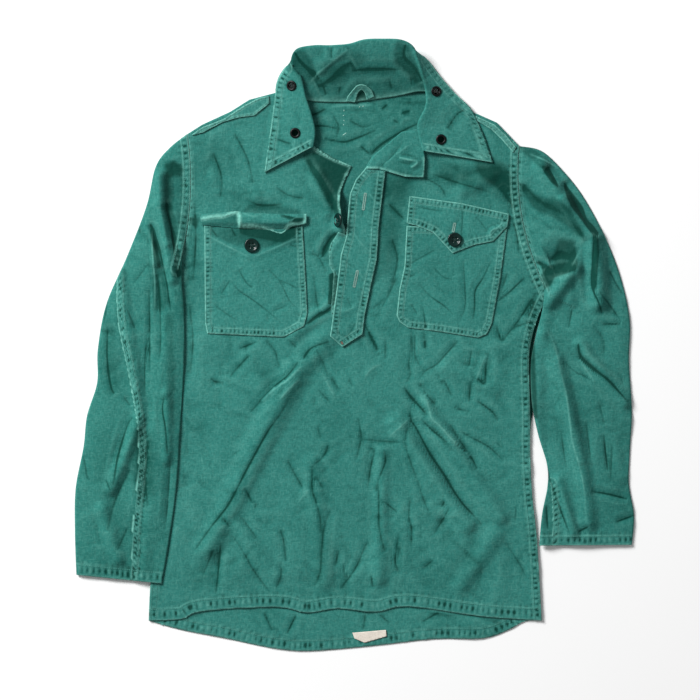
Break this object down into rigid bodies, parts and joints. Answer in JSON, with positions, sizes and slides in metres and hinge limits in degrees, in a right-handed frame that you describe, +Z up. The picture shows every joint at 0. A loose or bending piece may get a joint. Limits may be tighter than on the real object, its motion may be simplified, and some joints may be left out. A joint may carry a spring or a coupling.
{
  "type": "field shirt laid flat",
  "caption": "Long-sleeved pullover field shirt laid flat on its back, with a half-length neck opening, patch pockets with pointed flaps and a rolled collar with eyelets.",
  "frame": {"origin": "on the surface that the shirt lies on, at the middle of its length and width", "axes": "+X to the right seen from above, +Y up the garment towards the collar, +Z up off the surface"},
  "size_m": [0.7829, 0.8553, 0.0301],
  "materials": {
    "green_cotton": "washed and worn cotton drill, matt, paler along seams and edges",
    "dark_button": "moulded, very dark green, gloss",
    "black_metal": "blackened metal, worn bright on the rims",
    "cream_tape": "woven cotton tape, matt, blank"
  },
  "bodies": {
    "root": {"back": "green_cotton", "front": "green_cotton", "sleeve_left": "green_cotton", "sleeve_right": "green_cotton", "collar": "green_cotton", "neck_facing": "green_cotton", "placket": "green_cotton", "button_strip": "green_cotton", "pocket_left": "green_cotton", "pocket_right": "green_cotton", "flap_left": "green_cotton", "flap_right": "green_cotton", "strap_left": "green_cotton", "strap_right": "green_cotton", "hanger_loop": "green_cotton", "size_label": "cream_tape", "eyelet_left_upper": "black_metal", "eyelet_left_lower": "black_metal", "eyelet_right_upper": "black_metal", "eyelet_right_lower": "black_metal", "button_pocket_left": "dark_button", "button_flap_right": "dark_button", "button_placket": "dark_button"}
  },
  "joints": []
}
